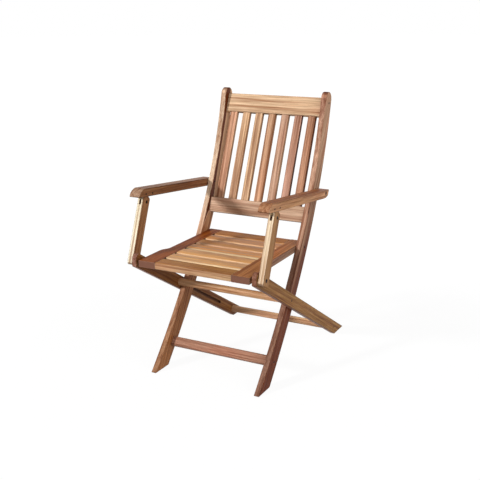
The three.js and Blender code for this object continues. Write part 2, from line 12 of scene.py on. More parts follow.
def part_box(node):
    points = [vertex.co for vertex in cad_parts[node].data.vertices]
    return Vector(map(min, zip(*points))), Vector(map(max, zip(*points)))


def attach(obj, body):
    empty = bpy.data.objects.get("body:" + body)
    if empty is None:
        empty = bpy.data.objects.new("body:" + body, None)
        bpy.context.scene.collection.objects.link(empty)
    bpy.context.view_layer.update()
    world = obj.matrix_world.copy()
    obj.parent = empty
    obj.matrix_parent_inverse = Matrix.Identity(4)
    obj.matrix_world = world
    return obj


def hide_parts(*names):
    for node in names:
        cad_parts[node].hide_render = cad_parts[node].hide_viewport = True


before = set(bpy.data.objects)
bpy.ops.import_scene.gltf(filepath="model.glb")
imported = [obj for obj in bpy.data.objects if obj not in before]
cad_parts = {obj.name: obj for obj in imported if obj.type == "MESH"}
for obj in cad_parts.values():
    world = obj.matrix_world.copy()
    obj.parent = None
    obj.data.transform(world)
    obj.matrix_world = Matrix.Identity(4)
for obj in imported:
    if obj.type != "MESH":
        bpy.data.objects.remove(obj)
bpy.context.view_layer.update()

MM = 0.001
MERGE_DISTANCE = 0.001 * MM
FLAT_ANGLE = math.radians(0.3)
SHARP_ANGLE = math.radians(35)
BORE_RIM = 12 * MM  # loops of edges smaller than this are the rims of pin holes
EASE_STEPS = 3
GRAIN_SEED = 11
GRAIN_SHIFT = 4.0  # a board's place in the log is up to this many metres off, each way

# How much of a face's normal lies along an axis: squarely on it at least, roughly on it at least, and past it at most
SQUARE_ON = 0.9
ROUGHLY_ON = 0.5
PAST = 0.1

# Which way the grain runs in each kind of board
ACROSS = Vector((1, 0, 0))
FRONT_TO_BACK = Vector((0, 1, 0))
STILE_RUN = Vector((0, 520.9, 915.5)).normalized()
PANEL_UP = Vector((0, 0.405, 1)).normalized()
LEG_RUN = Vector((0, math.cos(math.radians(30.75)), -math.sin(math.radians(30.75))))
ARM_RUN = Vector((0, 1, -0.1015)).normalized()
POST_UP = Vector((0, 0.387, 1)).normalized()

# Heights between which a stile turns from its lower colour, darker with the seat's painted shadow, to its upper one
FACES_TURN = (0.38, 0.46)
SIDES_TURN = (0.38, 0.70)

# How far a face looks sideways when it turns from the colour of a board's faces to that of its sides. The two are
# partly the wood's own colour and partly painted light and shade, as the lamps fall on faces and sides.
EDGE_TURN = (0.36, 0.76)

# How squarely a face lies across the grain when it begins and ends to show as a cut end
END_TURN = (1 / 6, 7 / 12)

# Painted shade in a board's grooves and gaps: how near its own faces shut a face in, the rays that test it, and the
# gain
HOLLOW_REACH = 20 * MM  # how near a board's own faces have to be to shut a face in
HOLLOW_RAYS = 8
HOLLOW_GAIN = 1.6  # a face counts as fully shut in before every ray meets wood

# Above the seat the front part of a stile's inner face gets painted light, paler than its wood, and a painted shadow
# as a dark strip along its very edge, where the rails and slats shade it. Both end between two depths behind that
# edge, and beside the top rail, whose shadow falls deeper, they reach five times as deep.
STRIP_DEPTH = (3.5 * MM, 7.5 * MM)
INNER_REACH = (60 * MM, 80 * MM)
STRIP_FOOT = 0.44
TOP_RAIL_FOOT = 0.83
TOP_RAIL_SHARE = 0.2


def linear(code):
    """A colour written as six hexadecimal digits, in the linear values that shaders take."""
    parts = [int(code[i : i + 2], 16) / 255 for i in (0, 2, 4)]
    return tuple(p / 12.92 if p <= 0.04045 else ((p + 0.055) / 1.055) ** 2.4 for p in parts)


# ---------------------------------------------------------------- finishes


class Nodes:
    """A short way to write a shader tree."""

    def __init__(self, tree):
        self.tree = tree
        tree.nodes.clear()

    def add(self, kind, inputs=None, **settings):
        node = self.tree.nodes.new(kind)
        for key, value in settings.items():
            setattr(node, key, value)
        for key, value in (inputs or {}).items():
            self.feed(node.inputs[key], value)
        return node

    def feed(self, socket, value):
        if isinstance(value, bpy.types.NodeSocket):
            self.tree.links.new(value, socket)
        else:
            socket.default_value = value

    def attribute(self, name):
        return self.add("ShaderNodeAttribute", attribute_name=name)

    def stretched(self, vector, scale):
        """Coordinates scaled on each of their axes."""
        node = self.add("ShaderNodeVectorMath", operation="MULTIPLY")
        self.feed(node.inputs[0], vector)
        node.inputs[1].default_value = scale
        return node.outputs[0]

    def noise(self, vector, scale, detail, roughness=0.5):
        place = self.stretched(vector, scale)
        inputs = {"Vector": place, "Scale": 1.0, "Detail": detail, "Roughness": roughness}
        return self.add("ShaderNodeTexNoise", inputs).outputs["Fac"]

    def span(self, value, low, high, to_low=0.0, to_high=1.0, smooth=False):
        """The value, taken from the span low to high to another one, and held at its ends."""
        inputs = {"Value": value, "From Min": low, "From Max": high, "To Min": to_low, "To Max": to_high}
        kind = "SMOOTHSTEP" if smooth else "LINEAR"
        return self.add("ShaderNodeMapRange", inputs, interpolation_type=kind).outputs["Result"]

    def math(self, operation, first, second):
        node = self.add("ShaderNodeMath", operation=operation)
        self.feed(node.inputs[0], first)
        self.feed(node.inputs[1], second)
        return node.outputs[0]

    def mix(self, factor, first, second, blend="MIX"):
        node = self.add("ShaderNodeMix", data_type="RGBA", blend_type=blend, clamp_result=True)
        self.feed(node.inputs["Factor"], factor)
        for socket, value in ((node.inputs[6], first), (node.inputs[7], second)):
            self.feed(socket, value if isinstance(value, bpy.types.NodeSocket) else (*value, 1.0))
        return node.outputs[2]

    def tint(self, factor, colour, shade):
        """The colour, darkened, warmed or lightened by a shade as far as the factor says."""
        return self.mix(factor, colour, shade, blend="MULTIPLY")

    def surface(self, shader):
        out = self.add("ShaderNodeOutputMaterial")
        self.tree.links.new(shader, out.inputs["Surface"])


def material(name):
    made = bpy.data.materials.new(name)
    made.use_nodes = True
    return made, Nodes(made.node_tree)


PIN_DARKENING_REACH = (1.6, 2.2)  # in radii of the pin


def around_pins(n, pins):
    """How far the wood is darkened round these pins: 1 at a pin's head, 0 a little further out."""
    place = n.stretched(n.add("ShaderNodeTexCoord").outputs["Object"], (0, 1, 1))
    darkened = 0.0
    for pin in pins:
        low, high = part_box(pin)
        middle, radius = (low + high) / 2, (high - low).z / 2
        away = n.add("ShaderNodeVectorMath", {0: place, 1: (0, middle.y, middle.z)}, operation="DISTANCE")
        near, far = (radius * reach for reach in PIN_DARKENING_REACH)
        darkened = n.math("MAXIMUM", darkened, n.span(away.outputs["Value"], near, far, 1.0, 0.0))
    return darkened


# How fine each pattern of the wood is along the grain, across it and through the board, in waves per metre
WANDER = (1.6, 14, 14)
PATCHES = (3.2, 11, 11)
STREAKS = (2.2, 95, 95)
FIBRES = (9, 520, 520)
PORES = (70, 2300, 2300)

RING_SLANT = (0.06, 1, 0.45)  # how fast the rings go by along, across and through the board
RING_WANDER = 0.022  # in metres, either way
MIDDLE_NOISE = (0.25, 0.75)  # nearly all values of a noise lie in between

# At which values of its noise each mark of the wood sets in and is full
STREAK_FROM = (0.44, 0.66)
FIBRE_SHADE_FROM = (0.42, 0.72)
FIBRE_LIGHT_FROM = (0.46, 0.24)
ROSY_FROM = (0.52, 0.72)
TAWNY_FROM = (0.48, 0.28)
PORE_FROM = (0.60, 0.72)

# What the marks make of the colour, as shares of red, green and blue. The shade of hollows and the strip along a
# stile's inner edge are painted shade.
RING_SHADE = (0.80, 0.70, 0.62)
STREAK_SHADE = (0.54, 0.40, 0.32)
FIBRE_SHADE = (0.62, 0.52, 0.45)
FIBRE_LIGHT = (1.45, 1.35, 1.25)
ROSY_PATCH = (1.0, 0.82, 0.78)
TAWNY_PATCH = (0.96, 0.95, 0.86)
PATCH_DEPTH = 0.8
PORE_SHADE = (0.45, 0.34, 0.28)
PORE_DEPTH = 0.5
PAINTED_HOLLOW_SHADE = (0.22, 0.14, 0.10)
PIN_DARKENING = (0.08, 0.055, 0.045)
PAINTED_STRIP_SHADOW = (0.12, 0.04, 0.012)
END_GRAIN = (0.28, 0.17, 0.13)
PALE_END = (1.3, 1.75, 2.4)

# Wood of other colours, and painted light and shade: the pale arris tone is wear and painted highlight, the dark one
# wear and painted shade, and a stile's inner face gets painted light
RAIL_END = linear("795242")
PALE_WEAR_AND_HIGHLIGHT = (0.78, 0.60, 0.44)
DARK_WEAR_AND_SHADE = (0.10, 0.045, 0.02)
# Painted light on the front of a stile's inner face
PAINTED_INNER_LIGHT = (1.0, 0.62, 0.37)
PAINTED_INNER_LIGHT_DEPTH = 0.75

# How far the arrises are worn and painted lighter or darker as light falls on them, at these values of the streaks'
# noise
WEAR_AND_LIGHT_FROM = (0.35, 0.65)
WEAR_AND_LIGHT = (0.1, 0.4)

# How wood and metal shine, and how deep their marks are
WOOD_GLOSS = 0.12
WOOD_ROUGHNESS = (-0.08, 0.12)  # more than the polish says, from one fibre to another
CUT_ROUGHNESS = 0.15
WOOD_RELIEF = 0.35 * MM
WOOD_BUMP = 0.45
FIBRE_HEIGHT = 0.6
PORE_DROP = 0.5
FINE_NOISE = (0.3, 0.7)  # most values of a noise lie in between
METAL_PATCHES = (420, 420, 420)
DULL_FROM = (0.35, 0.65)
METAL_SCRATCHES = (260, 2600, 260)
METAL_ROUGHNESS = (-0.1, 0.15)
METAL_RELIEF = 0.08 * MM
METAL_BUMP = 0.3


def teak(
    name,
    ring_spacing=6.0,
    ring_depth=0.55,
    polish=0.5,
    end_depth=0.75,
    end_tone=END_GRAIN,
    own_end=False,
    arris_wear_and_light=1.0,
    arris_tone=PALE_WEAR_AND_HIGHLIGHT,
    painted_strip=False,
    pins=(),
):
    """Oiled teak. The mesh's attributes give its colour with painted light and shade, the run of the grain, cut ends,
    arrises and the painted shade of hollows.

    ring_spacing is in millimetres. own_end gives the cut ends end_tone itself, where they are otherwise tinted by it.
    painted_strip paints light on the front of a stile's inner face and a shadow along its edge, where
    mark_painted_strip marks them, and the wood is darkened round the pins.
    """
    made, n = material(name)
    grain = n.attribute("grain").outputs["Vector"]
    stain_and_shade = n.attribute("stain_and_shade").outputs["Color"]
    end = n.attribute("cut_end").outputs["Fac"]
    arris = n.attribute("arris").outputs["Fac"]
    hollow_painted_shade = n.attribute("hollow_painted_shade").outputs["Fac"]

    wander = n.noise(grain, WANDER, detail=3)
    ring_place = n.add("ShaderNodeSeparateXYZ", {"Vector": n.stretched(grain, RING_SLANT)})
    across_rings = n.math("ADD", ring_place.outputs["Y"], ring_place.outputs["Z"])
    along_rings = n.math("ADD", across_rings, ring_place.outputs["X"])
    bent = n.math("ADD", along_rings, n.span(wander, *MIDDLE_NOISE, -RING_WANDER, RING_WANDER))
    turns = n.math("MULTIPLY", bent, 2 * math.pi / (ring_spacing * MM))
    rings = n.span(n.math("SINE", turns, 0.0), -1.0, 1.0, smooth=True)

    fibre = n.noise(grain, FIBRES, detail=5, roughness=0.62)
    streak = n.noise(grain, STREAKS, detail=3, roughness=0.55)
    pore = n.span(n.noise(grain, PORES, detail=2), *PORE_FROM)
    patch = n.noise(grain, PATCHES, detail=2)

    colour = n.tint(n.math("MULTIPLY", rings, ring_depth), stain_and_shade, RING_SHADE)
    colour = n.tint(n.span(streak, *STREAK_FROM), colour, STREAK_SHADE)
    colour = n.tint(n.span(fibre, *FIBRE_SHADE_FROM), colour, FIBRE_SHADE)
    colour = n.tint(n.span(fibre, *FIBRE_LIGHT_FROM), colour, FIBRE_LIGHT)
    colour = n.tint(n.span(patch, *ROSY_FROM, 0.0, PATCH_DEPTH, smooth=True), colour, ROSY_PATCH)
    colour = n.tint(n.span(patch, *TAWNY_FROM, 0.0, PATCH_DEPTH, smooth=True), colour, TAWNY_PATCH)
    colour = n.tint(n.math("MULTIPLY", pore, PORE_DEPTH), colour, PORE_SHADE)
    colour = n.mix(n.math("MULTIPLY", end, end_depth), colour, end_tone, blend="MIX" if own_end else "MULTIPLY")
    # Arrises: wear, with painted highlight in a pale tone and painted shade in a dark one
    worn_and_lit = n.math("MULTIPLY", arris, n.span(streak, *WEAR_AND_LIGHT_FROM, *(share * arris_wear_and_light for share in WEAR_AND_LIGHT)))
    colour = n.mix(worn_and_lit, colour, arris_tone)
    # Painted shade in grooves and gaps
    colour = n.tint(hollow_painted_shade, colour, PAINTED_HOLLOW_SHADE)
    if pins:
        colour = n.tint(around_pins(n, pins), colour, PIN_DARKENING)
    # Painted light on the front of a stile's inner face, and a painted shadow along its edge
    if painted_strip:
        behind = n.attribute("behind_front").outputs["Fac"]
        colour = n.mix(n.span(behind, *INNER_REACH, PAINTED_INNER_LIGHT_DEPTH, 0.0), colour, PAINTED_INNER_LIGHT)
        colour = n.tint(n.span(behind, *STRIP_DEPTH, 1.0, 0.0), colour, PAINTED_STRIP_SHADOW)

    rough = n.span(fibre, *FINE_NOISE, *(polish + more for more in WOOD_ROUGHNESS))
    rough = n.math("ADD", rough, n.math("MULTIPLY", end, CUT_ROUGHNESS))
    relief = n.math("SUBTRACT", n.math("MULTIPLY", fibre, FIBRE_HEIGHT), n.math("MULTIPLY", pore, PORE_DROP))
    bump = n.add("ShaderNodeBump", {"Strength": WOOD_BUMP, "Distance": WOOD_RELIEF, "Height": relief})
    wood = n.add(
        "ShaderNodeBsdfPrincipled",
        {
            "Base Color": colour,
            "Roughness": rough,
            "Specular IOR Level": WOOD_GLOSS,
            "Normal": bump.outputs["Normal"],
        },
    )
    n.surface(wood.outputs["BSDF"])
    return made


def metal(name, bright, dull, roughness):
    """Pins and plates: rubbed metal that has dulled in patches."""
    made, n = material(name)
    place = n.add("ShaderNodeTexCoord").outputs["Object"]
    patch = n.noise(place, METAL_PATCHES, detail=3)
    scratch = n.noise(place, METAL_SCRATCHES, detail=3, roughness=0.6)
    colour = n.mix(n.span(patch, *DULL_FROM), bright, dull)
    rough = n.span(scratch, *FINE_NOISE, *(roughness + more for more in METAL_ROUGHNESS))
    bump = n.add("ShaderNodeBump", {"Strength": METAL_BUMP, "Distance": METAL_RELIEF, "Height": scratch})
    shader = n.add(
        "ShaderNodeBsdfPrincipled",
        {
            "Base Color": colour,
            "Metallic": 1.0,
            "Roughness": rough,
            "Normal": bump.outputs["Normal"],
        },
    )
    n.surface(shader.outputs["BSDF"])
    return made


FINISHES = {
    "stile_wood": teak(
        "teak_stile",
        ring_spacing=9,
        ring_depth=0.3,
        end_depth=1.0,
        arris_wear_and_light=0.9,
        arris_tone=DARK_WEAR_AND_SHADE,
        painted_strip=True,
        pins=["top_rail_nail_left", "front_stretcher_nail_left"],
    ),
    "leg_wood": teak(
        "teak_leg",
        ring_spacing=8,
        end_depth=0.35,
        arris_wear_and_light=1.5,
        arris_tone=DARK_WEAR_AND_SHADE,
        pins=["stop_bar_nail_left", "rear_stretcher_nail_left"],
    ),
    "rail_wood": teak("teak_rail", ring_spacing=11, ring_depth=0.25, arris_wear_and_light=0.6),
    "slat_wood": teak("teak_back_slat", ring_spacing=7, ring_depth=0.3, arris_wear_and_light=1.2, arris_tone=DARK_WEAR_AND_SHADE),
    "seat_wood": teak("teak_seat_slat", ring_spacing=8, ring_depth=0.45, polish=0.45),
    "seat_rail_wood": teak(
        "teak_seat_rail", ring_spacing=7, end_depth=1.0, end_tone=RAIL_END, own_end=True, arris_wear_and_light=0.3
    ),
    "bar_wood": teak("teak_bar", ring_spacing=6, arris_wear_and_light=0.5),
    "arm_wood": teak(
        "teak_armrest",
        ring_spacing=8,
        polish=0.45,
        end_depth=1.0,
        end_tone=PALE_END,
        arris_wear_and_light=0.8,
        arris_tone=DARK_WEAR_AND_SHADE,
        pins=["arm_pivot_left", "tongue_pin_front_left", "tongue_pin_rear_left"],
    ),
    "post_wood": teak(
        "teak_post", ring_spacing=6, ring_depth=0.15, arris_wear_and_light=0.4, pins=["fork_pin_left", "front_pivot_left"]
    ),
    "pin_steel": metal("dulled_steel", linear("1f1a17"), linear("0e0b09"), 0.6),
    "plate_brass": metal("dulled_brass", linear("e6dcc4"), linear("a8946c"), 0.42),
}

# ---------------------------------------------------------------- boards


def finished(name, mesh, body, replaced):
    """A mesh as a piece of the chair, in place of its CAD nodes."""
    piece = bpy.data.objects.new(name, mesh)
    bpy.context.scene.collection.objects.link(piece)
    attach(piece, body)
    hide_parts(*replaced)
    return piece


def evaluated(piece):
    """The piece's mesh with its modifiers applied. The piece itself is removed."""
    graph = bpy.context.evaluated_depsgraph_get()
    mesh = bpy.data.meshes.new_from_object(piece.evaluated_get(graph), preserve_all_data_layers=True, depsgraph=graph)
    bpy.data.objects.remove(piece)
    return mesh


def arrises(bm):
    """The outer edges of a board, without the rims of its pin holes."""
    left = {e for e in bm.edges if e.is_manifold and e.is_convex and e.calc_face_angle() > SHARP_ANGLE}
    found = []
    while left:
        loop, reached = [], [left.pop()]
        while reached:
            edge = reached.pop()
            loop.append(edge)
            near = {e for v in edge.verts for e in v.link_edges} & left
            left -= near
            reached.extend(near)
        places = np.array([v.co for e in loop for v in e.verts])
        if np.ptp(places, axis=0).max() > BORE_RIM:
            found.extend(loop)
    return found


def eased(name, nodes, ease):
    """Copies of CAD nodes in one mesh, with eased arrises. Its second material marks them."""
    bm = bmesh.new()
    for node in nodes:
        bm.from_mesh(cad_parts[node].data)
    bmesh.ops.remove_doubles(bm, verts=bm.verts, dist=MERGE_DISTANCE)
    bmesh.ops.dissolve_limit(bm, angle_limit=FLAT_ANGLE, verts=bm.verts, edges=bm.edges, use_dissolve_boundaries=False)
    weight = bm.edges.layers.float.new("bevel_weight_edge")
    for edge in arrises(bm):
        edge[weight] = 1.0
    for edge in bm.edges:
        edge.smooth = edge[weight] > 0 or edge.calc_face_angle(0.0) < SHARP_ANGLE
    for face in bm.faces:
        face.smooth = True
        face.material_index = 0
    mesh = bpy.data.meshes.new(name)
    bm.to_mesh(mesh)
    bm.free()
    mesh.materials.clear()
    mesh.materials.append(None)
    mesh.materials.append(None)
    piece = bpy.data.objects.new(name, mesh)
    bpy.context.scene.collection.objects.link(piece)
    bevel = piece.modifiers.new("ease", "BEVEL")
    bevel.limit_method = "WEIGHT"
    bevel.width = ease
    bevel.segments = EASE_STEPS
    bevel.use_clamp_overlap = False
    bevel.material = 1
    even = piece.modifiers.new("even", "WEIGHTED_NORMAL")
    even.keep_sharp = True
    even.weight = 50
    return evaluated(piece)


def blended(first, second, values, start, end):
    """Colours that turn from the first to the second while the values go from start to end."""
    share = np.clip((values - start) / (end - start), 0, 1)[:, None]
    return first + (second - first) * share


def stain_and_shade_colours(codes, sideways, height):
    """The colour at some corners of one board: partly the wood's own, partly painted light and shade.

    codes gives the colour of its faces, of its sides and, if they differ, of both again lower down, where a stile
    holds the seat's painted shadow. Faces and sides differ partly by painted light and shade. Sides look to the left
    or right or, on a board that runs across the chair, to the front or back.
    """
    faces, sides, *lower = (np.array(linear(code)) for code in codes)
    if lower:
        faces = blended(lower[0], faces, height, *FACES_TURN)
        sides = blended(lower[1], sides, height, *SIDES_TURN)
    return blended(faces, sides, sideways, *EDGE_TURN)


def shut_in(mesh, open_side):
    """How far each face is shut in by wood of its own mesh, as in a groove: 0 to 1, which is how much painted shade it
    gets. Faces to the open side aren't.
    """
    tree = BVHTree.FromPolygons([v.co for v in mesh.vertices], [list(p.vertices) for p in mesh.polygons])
    shares = []
    for face in mesh.polygons:
        if face.normal.dot(open_side) > PAST:
            shares.append(0.0)
            continue
        tilted = (face.normal + face.normal.orthogonal().normalized()).normalized()
        start = face.center + face.normal * MERGE_DISTANCE
        rays = [Quaternion(face.normal, 2 * math.pi * k / HOLLOW_RAYS) @ tilted for k in range(HOLLOW_RAYS)]
        shares.append(sum(tree.ray_cast(start, ray, HOLLOW_REACH)[0] is not None for ray in rays) / HOLLOW_RAYS)
    return np.clip(np.array(shares) * HOLLOW_GAIN, 0, 1)


def wooden(mesh, finish, along, stains_and_shades, order, seed, open_side=Vector()):
    """Gives a mesh its grain, its colours with painted light and shade, cut ends, arrises and the painted shade of its
    hollows. order says which board each vertex is of.

    Faces with the second material are worn and painted lighter or darker as arrises are. An eased board has it on its
    arrises, and slats all over.
    """
    side = ACROSS if abs(along.dot(ACROSS)) < SQUARE_ON else FRONT_TO_BACK
    turn = Matrix((along, side, along.cross(side)))
    places = np.empty(len(mesh.vertices) * 3)
    mesh.vertices.foreach_get("co", places)
    places = places.reshape(-1, 3)
    shift = np.random.default_rng(seed).uniform(-GRAIN_SHIFT, GRAIN_SHIFT, (len(stains_and_shades), 3))
    middle = np.array([places[order == k].mean(axis=0) for k in range(len(stains_and_shades))])
    grain = (places - middle[order]) @ np.array(turn).T + shift[order]
    mesh.attributes.new("grain", "FLOAT_VECTOR", "POINT").data.foreach_set("vector", grain.ravel())
    normals = np.empty(len(mesh.polygons) * 3)
    mesh.polygons.foreach_get("normal", normals)
    marks = np.empty(len(mesh.polygons), int)
    mesh.polygons.foreach_get("material_index", marks)
    corners = np.empty(len(mesh.polygons), int)
    mesh.polygons.foreach_get("loop_total", corners)
    normals = normals.reshape(-1, 3)
    end = np.clip((np.abs(normals @ np.array(along)) - END_TURN[0]) / (END_TURN[1] - END_TURN[0]), 0, 1)
    for name, values in (("cut_end", end), ("arris", marks == 1), ("hollow_painted_shade", shut_in(mesh, open_side))):
        spread = np.repeat(values.astype(float), corners)
        mesh.attributes.new(name, "FLOAT", "CORNER").data.foreach_set("value", spread)
    vertices = np.empty(len(mesh.loops), int)
    mesh.loops.foreach_get("vertex_index", vertices)
    sideways = np.repeat(np.abs(normals @ np.array(side)), corners)
    colours = np.ones((len(vertices), 4))
    for number, codes in enumerate(stains_and_shades):
        own = order[vertices] == number
        colours[own, :3] = stain_and_shade_colours(codes, sideways[own], places[vertices[own], 2])
    mesh.attributes.new("stain_and_shade", "FLOAT_COLOR", "CORNER").data.foreach_set("color", colours.ravel())
    mesh.polygons.foreach_set("material_index", np.zeros(len(mesh.polygons), int))
    mesh.materials.clear()
    mesh.materials.append(FINISHES[finish])


def mark_painted_strip(mesh):
    """Marks how far behind its front edge each corner of a stile's inner face is, for the painted light and painted
    shadow there. All other corners are far.
    """
    far = 1.0
    forward = [p for p in mesh.polygons if p.normal.y < -ROUGHLY_ON and abs(p.normal.x) < PAST]
    front = {k for face in forward for k in face.vertices}
    edge = np.array(sorted((mesh.vertices[k].co.z, mesh.vertices[k].co.y) for k in front))
    values = []
    for face in mesh.polygons:
        inner = face.normal.x * face.center.x < 0 and abs(face.normal.x) > SQUARE_ON
        for k in face.vertices:
            place = mesh.vertices[k].co
            behind = (place.y - np.interp(place.z, edge[:, 0], edge[:, 1])) * STILE_RUN.z
            behind *= TOP_RAIL_SHARE if place.z > TOP_RAIL_FOOT else 1
            values.append(behind if inner and place.z > STRIP_FOOT else far)
    mesh.attributes.new("behind_front", "FLOAT", "CORNER").data.foreach_set("value", values)


def board(node, body, finish, along, ease, *codes):
    """One CAD board, eased and grained."""
    mesh = eased(f"{node}_board", [node], ease * MM)
    order = np.zeros(len(mesh.vertices), int)
    seed = GRAIN_SEED + sum(ord(letter) for letter in node)
    wooden(mesh, finish, along, [codes], order, seed)
    if finish == "stile_wood":
        mark_painted_strip(mesh)
    return finished(f"{node}_board", mesh, body, [node])


# Each board's node, body, finish, run of the grain, ease in millimetres and stains. The stains of faces, sides and a
# stile's lower part are partly the wood's colour and partly painted light and shade; the dark sides of the left seat
# rail and of the lower right stile are painted shade.
BOARDS = [
    ("stile_left", "back_frame", "stile_wood", STILE_RUN, 1.6, "e6cbaf", "fcd0a4", "b28666", "b47c50"),
    ("stile_right", "back_frame", "stile_wood", STILE_RUN, 1.6, "c69d84", "dfb797", "96715f", "733201"),
    ("top_rail", "back_frame", "rail_wood", ACROSS, 1.8, "fcdcae", "e3c39f"),
    ("lower_rail", "back_frame", "rail_wood", ACROSS, 1.8, "8f6b4b", "d0af94"),
    ("front_stretcher", "back_frame", "bar_wood", ACROSS, 2.0, "8a5c48", "b28670"),
    ("leg_left", "leg_frame", "leg_wood", LEG_RUN, 1.5, "ba9282", "9e6d3e"),
    ("leg_right", "leg_frame", "leg_wood", LEG_RUN, 1.5, "a97b65", "ab7e47"),
    ("stop_bar", "leg_frame", "bar_wood", ACROSS, 0.6, "f1be86", "fad2a7"),
    ("rear_stretcher", "leg_frame", "bar_wood", ACROSS, 0.6, "fcd0a2", "deb692"),
    ("seat_front_board", "seat", "seat_wood", ACROSS, 0.8, "c18b48", "caa984"),
    ("seat_rear_board", "seat", "seat_wood", ACROSS, 0.8, "c07715", "eabd8a"),
    ("seat_rail_left", "seat", "seat_rail_wood", FRONT_TO_BACK, 1.5, "a15614", "2a120a"),
    ("seat_rail_right", "seat", "seat_rail_wood", FRONT_TO_BACK, 1.5, "bf814a", "aa8872"),
    ("armrest_left", "arm_left", "arm_wood", ARM_RUN, 2.2, "a47756", "986d4b"),
    ("armrest_right", "arm_right", "arm_wood", ARM_RUN, 2.2, "a66b44", "d8a274"),
    ("post_left", "post_left", "post_wood", POST_UP, 1.2, "fcf4dc", "a77a54"),
    ("post_right", "post_right", "post_wood", POST_UP, 1.2, "fcebcd", "c19262"),
]

for row in BOARDS:
    board(*row)

# ---------------------------------------------------------------- what repeats


class Shaping(Nodes):
    """A Geometry Nodes tree with named inputs. close ends it in Realize Instances, Transform and Set Material."""

    def __init__(self, name, inputs):
        super().__init__(bpy.data.node_groups.new(name, "GeometryNodeTree"))
        face = self.tree.interface
        face.new_socket("Geometry", in_out="INPUT", socket_type="NodeSocketGeometry")
        face.new_socket("Geometry", in_out="OUTPUT", socket_type="NodeSocketGeometry")
        self.sockets = {
            label: face.new_socket(label, in_out="INPUT", socket_type=kind).identifier
            for label, kind in inputs.items()
        }
        self.given = self.add("NodeGroupInput").outputs

    def close(self, instances, turn, place, finish):
        whole = self.add("GeometryNodeRealizeInstances", {"Geometry": instances})
        set_down = self.add(
            "GeometryNodeTransform",
            {"Geometry": whole.outputs[0], "Rotation": turn, "Translation": place},
        )
        dressed = self.add("GeometryNodeSetMaterial", {"Geometry": set_down.outputs[0], "Material": finish})
        out = self.add("NodeGroupOutput")
        self.tree.links.new(dressed.outputs[0], out.inputs["Geometry"])

    def made(self, name, values, points=()):
        """An object that takes its shape from the tree, with these values and on these points."""
        start = bpy.data.meshes.new(f"{name}_points")
        start.from_pydata([tuple(p) for p in points], [], [])
        piece = bpy.data.objects.new(name, start)
        bpy.context.scene.collection.objects.link(piece)
        modifier = piece.modifiers.new("shape", "NODES")
        modifier.node_group = self.tree
        for label, value in values.items():
            modifier[self.sockets[label]] = value
        return piece


FLOAT, WHOLE = "NodeSocketFloat", "NodeSocketInt"
PLACE, WOOD = "NodeSocketVector", "NodeSocketMaterial"


def slat_row_tree():
    """Slats side by side: each is as long as Length along Z, as wide as Width along X, the way the row goes."""
    tree = Shaping(
        "slat_row",
        {
            "Count": WHOLE,
            "Pitch": FLOAT,
            "Width": FLOAT,
            "Thickness": FLOAT,
            "Length": FLOAT,
            "Ease": FLOAT,
            "Turn": PLACE,
            "Middle": PLACE,
            "Finish": WOOD,
        },
    )
    given = tree.given
    section = tree.add(
        "GeometryNodeCurvePrimitiveQuadrilateral", {"Width": given["Width"], "Height": given["Thickness"]}
    )
    rounded = tree.add(
        "GeometryNodeFilletCurve",
        {"Curve": section.outputs[0], "Radius": given["Ease"], "Limit Radius": True, "Count": EASE_STEPS},
        mode="POLY",
    )
    half = tree.math("MULTIPLY", given["Length"], 0.5)
    low = tree.add("ShaderNodeCombineXYZ", {"Z": tree.math("MULTIPLY", half, -1.0)})
    high = tree.add("ShaderNodeCombineXYZ", {"Z": half})
    line = tree.add("GeometryNodeCurvePrimitiveLine", {"Start": low.outputs[0], "End": high.outputs[0]})
    slat = tree.add(
        "GeometryNodeCurveToMesh",
        {"Curve": line.outputs[0], "Profile Curve": rounded.outputs[0], "Fill Caps": True},
    )
    steps = tree.math("MULTIPLY", tree.math("SUBTRACT", given["Count"], 1.0), given["Pitch"])
    first = tree.add("ShaderNodeCombineXYZ", {"X": tree.math("MULTIPLY", steps, -0.5)})
    step = tree.add("ShaderNodeCombineXYZ", {"X": given["Pitch"]})
    places = tree.add(
        "GeometryNodeMeshLine",
        {"Count": given["Count"], "Start Location": first.outputs[0], "Offset": step.outputs[0]},
    )
    numbered = tree.add(
        "GeometryNodeStoreNamedAttribute",
        {"Geometry": places.outputs[0], "Name": "order", "Value": tree.add("GeometryNodeInputIndex").outputs[0]},
        data_type="INT",
        domain="POINT",
    )
    row = tree.add("GeometryNodeInstanceOnPoints", {"Points": numbered.outputs[0], "Instance": slat.outputs[0]})
    tree.close(row.outputs[0], given["Turn"], given["Middle"], given["Finish"])
    return tree


def centre(node):
    low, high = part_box(node)
    return (low + high) / 2


def turned(x, y, z):
    """The turn that takes the three axes to these directions."""
    return Matrix((x, y, z)).transposed().to_euler()


def keep_sharp(mesh):
    """Shades the mesh smoothly up to the sharp angle only."""
    bm = bmesh.new()
    bm.from_mesh(mesh)
    for edge in bm.edges:
        edge.smooth = edge.calc_face_angle(0.0) < SHARP_ANGLE
    bm.to_mesh(mesh)
    bm.free()


slat_rows = slat_row_tree()


def slat_row(name, body, finish, nodes, stains_and_shades, pitch, size, ease, turn, along):
    """A row of slats in one mesh, in place of its CAD nodes. size is their width, thickness and length."""
    values = {
        "Count": len(nodes),
        "Pitch": pitch,
        "Width": size[0],
        "Thickness": size[1],
        "Length": size[2],
        "Ease": ease,
        "Turn": tuple(turn),
        "Middle": tuple(sum((centre(node) for node in nodes), Vector()) / len(nodes)),
        "Finish": FINISHES[finish],
    }
    piece = slat_rows.made(name, values)
    mesh = evaluated(piece)
    order = np.empty(len(mesh.vertices), int)
    mesh.attributes["order"].data.foreach_get("value", order)
    mesh.shade_smooth()
    keep_sharp(mesh)
    wooden(mesh, finish, along, stains_and_shades, order, GRAIN_SEED, open_side=-FRONT_TO_BACK)
    return finished(name, mesh, body, nodes)


